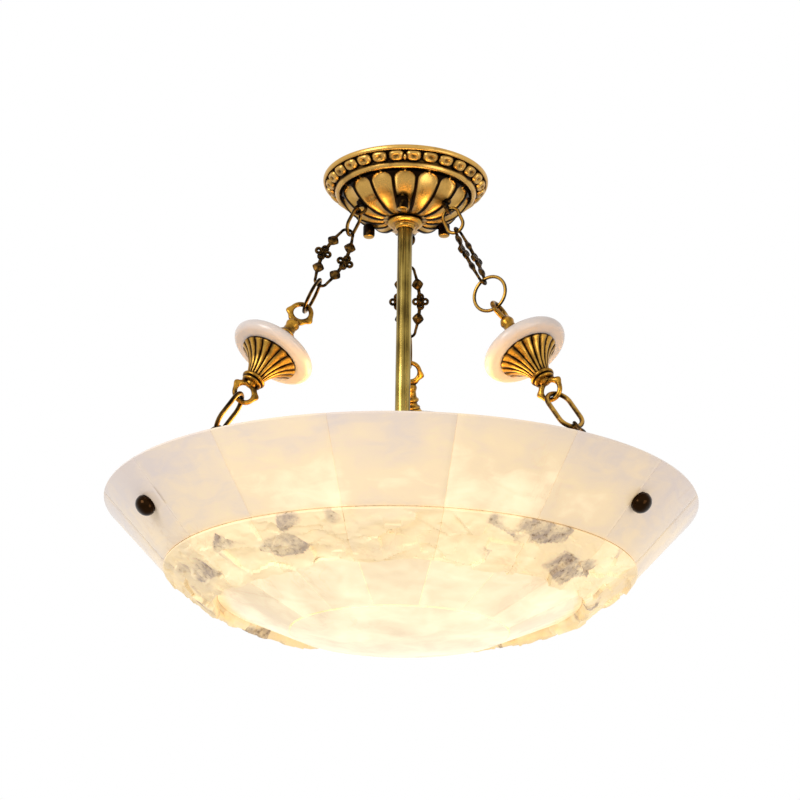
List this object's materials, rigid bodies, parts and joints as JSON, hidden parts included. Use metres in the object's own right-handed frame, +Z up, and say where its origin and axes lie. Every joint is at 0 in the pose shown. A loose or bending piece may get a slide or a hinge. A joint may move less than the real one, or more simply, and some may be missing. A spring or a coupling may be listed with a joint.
{
  "type": "semi-flush ceiling light",
  "caption": "Semi-flush ceiling light: a shallow pieced stone bowl hung on ornamental chains with stone discs from a gadrooned brass canopy, lamps on a central stem.",
  "frame": {"origin": "middle of the ceiling face of the canopy and its mounting plate", "axes": "+Z up along the stem towards the ceiling; the mounting slots lie along X; the picture was taken from -Y, from below"},
  "size_m": [0.4876, 0.4876, 0.4115],
  "materials": {
    "antique_brass": "cast and polished with dark patina in the hollows",
    "stem_brass": "drawn tube, brushed along its length, aged",
    "dark_brass": "blackened casting with worn edges",
    "dark_bronze": "polished dark bronze",
    "zinc_steel": "zinc plated",
    "stone": "polished translucent stone, faint veins",
    "rough_stone": "split rock face with grey veins",
    "porcelain": "glazed",
    "bulb_glass": "frosted, lit"
  },
  "bodies": {
    "root": {"canopy_shell": "antique_brass", "mounting_plate": "zinc_steel", "chain_lugs": "antique_brass", "stem_tube": "stem_brass", "stem_nipple": "zinc_steel", "stem_locknut": "zinc_steel", "boss_collar": "antique_brass", "lamp_hub": "antique_brass", "hub_finial": "antique_brass", "lampholder_cups": "antique_brass", "lampholder_cores": "porcelain"},
    "bowl": {"upper_staves": "stone", "rough_blocks": "rough_stone", "lower_staves": "stone", "bottom_disc": "stone", "eye_bolts": "antique_brass", "inner_washers": "dark_bronze", "outer_washers": "dark_bronze"},
    "chain_1": {"lug_ring_1": "antique_brass", "upper_link_1": "dark_brass", "spacer_eye_1": "antique_brass", "spacer_collar_1": "antique_brass", "stone_disc_1": "stone", "spacer_bell_1": "antique_brass", "spacer_foot_1": "antique_brass", "oval_link_1": "antique_brass", "lower_link_1": "dark_brass"},
    "ring_1": {"round_ring_1": "antique_brass"},
    "chain_2": {"lug_ring_2": "antique_brass", "upper_link_2": "dark_brass", "spacer_eye_2": "antique_brass", "spacer_collar_2": "antique_brass", "stone_disc_2": "stone", "spacer_bell_2": "antique_brass", "spacer_foot_2": "antique_brass", "oval_link_2": "antique_brass", "lower_link_2": "dark_brass"},
    "ring_2": {"round_ring_2": "antique_brass"},
    "chain_3": {"lug_ring_3": "antique_brass", "upper_link_3": "dark_brass", "spacer_eye_3": "antique_brass", "spacer_collar_3": "antique_brass", "stone_disc_3": "stone", "spacer_bell_3": "antique_brass", "spacer_foot_3": "antique_brass", "oval_link_3": "antique_brass", "lower_link_3": "dark_brass"},
    "ring_3": {"round_ring_3": "antique_brass"},
    "knob_1": {"canopy_knob_1": "antique_brass"},
    "lamp_1": {"bulb_1": "bulb_glass"},
    "knob_2": {"canopy_knob_2": "antique_brass"},
    "lamp_2": {"bulb_2": "bulb_glass"},
    "knob_3": {"canopy_knob_3": "antique_brass"},
    "lamp_3": {"bulb_3": "bulb_glass"},
    "nut_1": {"acorn_nut_1": "dark_bronze"},
    "nut_2": {"acorn_nut_2": "dark_bronze"},
    "nut_3": {"acorn_nut_3": "dark_bronze"}
  },
  "joints": [
    {"name": "bowl_twist", "type": "hinge", "parent": "root", "child": "bowl", "pos_m": [0, 0, -0.29855], "axis": [0, 0, 1], "range_deg": [-5, 5]},
    {"name": "chain_swing_1", "type": "hinge", "parent": "root", "child": "chain_1", "pos_m": [-0.03965, -0.0202, -0.03977], "axis": [-0.7713, -0.393, 0.5006], "range_deg": [-4, 4]},
    {"name": "ring_turn_1", "type": "hinge", "parent": "chain_1", "child": "ring_1", "pos_m": [-0.07634, -0.03889, -0.12521], "axis": [0.8968, 0.0731, -0.4364], "continuous": true},
    {"name": "chain_swing_2", "type": "hinge", "parent": "root", "child": "chain_2", "pos_m": [0.03732, -0.02424, -0.03977], "axis": [0.726, -0.4715, 0.5006], "range_deg": [-4, 4]},
    {"name": "ring_turn_2", "type": "hinge", "parent": "chain_2", "child": "ring_2", "pos_m": [0.07185, -0.04666, -0.12521], "axis": [-0.5446, -0.8387, 0], "continuous": true},
    {"name": "chain_swing_3", "type": "hinge", "parent": "root", "child": "chain_3", "pos_m": [0.00233, 0.04444, -0.03977], "axis": [0.0453, 0.8645, 0.5006], "range_deg": [-4, 4]},
    {"name": "ring_turn_3", "type": "hinge", "parent": "chain_3", "child": "ring_3", "pos_m": [0.00448, 0.08556, -0.12521], "axis": [0.9986, -0.0523, 0], "continuous": true},
    {"name": "knob_screw_1", "type": "hinge", "parent": "root", "child": "knob_1", "pos_m": [-0.00199, -0.03795, -0.036], "axis": [0, 0, 1], "continuous": true},
    {"name": "bulb_unscrew_1", "type": "hinge", "parent": "root", "child": "lamp_1", "pos_m": [-0.00262, -0.04993, -0.32155], "axis": [-0.0523, -0.9986, 0], "continuous": true},
    {"name": "knob_screw_2", "type": "hinge", "parent": "root", "child": "knob_2", "pos_m": [0.03386, 0.01725, -0.036], "axis": [0, 0, 1], "continuous": true},
    {"name": "bulb_unscrew_2", "type": "hinge", "parent": "root", "child": "lamp_2", "pos_m": [0.04455, 0.0227, -0.32155], "axis": [0.891, 0.454, 0], "continuous": true},
    {"name": "knob_screw_3", "type": "hinge", "parent": "root", "child": "knob_3", "pos_m": [-0.03187, 0.0207, -0.036], "axis": [0, 0, 1], "continuous": true},
    {"name": "bulb_unscrew_3", "type": "hinge", "parent": "root", "child": "lamp_3", "pos_m": [-0.04193, 0.02723, -0.32155], "axis": [-0.8387, 0.5446, 0], "continuous": true},
    {"name": "acorn_unscrew_1", "type": "hinge", "parent": "bowl", "child": "nut_1", "pos_m": [-0.19531, -0.09952, -0.32605], "axis": [-0.6498, -0.3311, -0.6842], "continuous": true},
    {"name": "acorn_unscrew_2", "type": "hinge", "parent": "bowl", "child": "nut_2", "pos_m": [0.18384, -0.11939, -0.32605], "axis": [0.6117, -0.3972, -0.6842], "continuous": true},
    {"name": "acorn_unscrew_3", "type": "hinge", "parent": "bowl", "child": "nut_3", "pos_m": [0.01147, 0.2189, -0.32605], "axis": [0.0382, 0.7283, -0.6842], "continuous": true}
  ],
  "couplings": [
    {"joint": "chain_swing_1", "follows": "bowl_twist", "ratio": 0.64612},
    {"joint": "chain_swing_2", "follows": "bowl_twist", "ratio": 0.64612},
    {"joint": "chain_swing_3", "follows": "bowl_twist", "ratio": 0.64612}
  ]
}
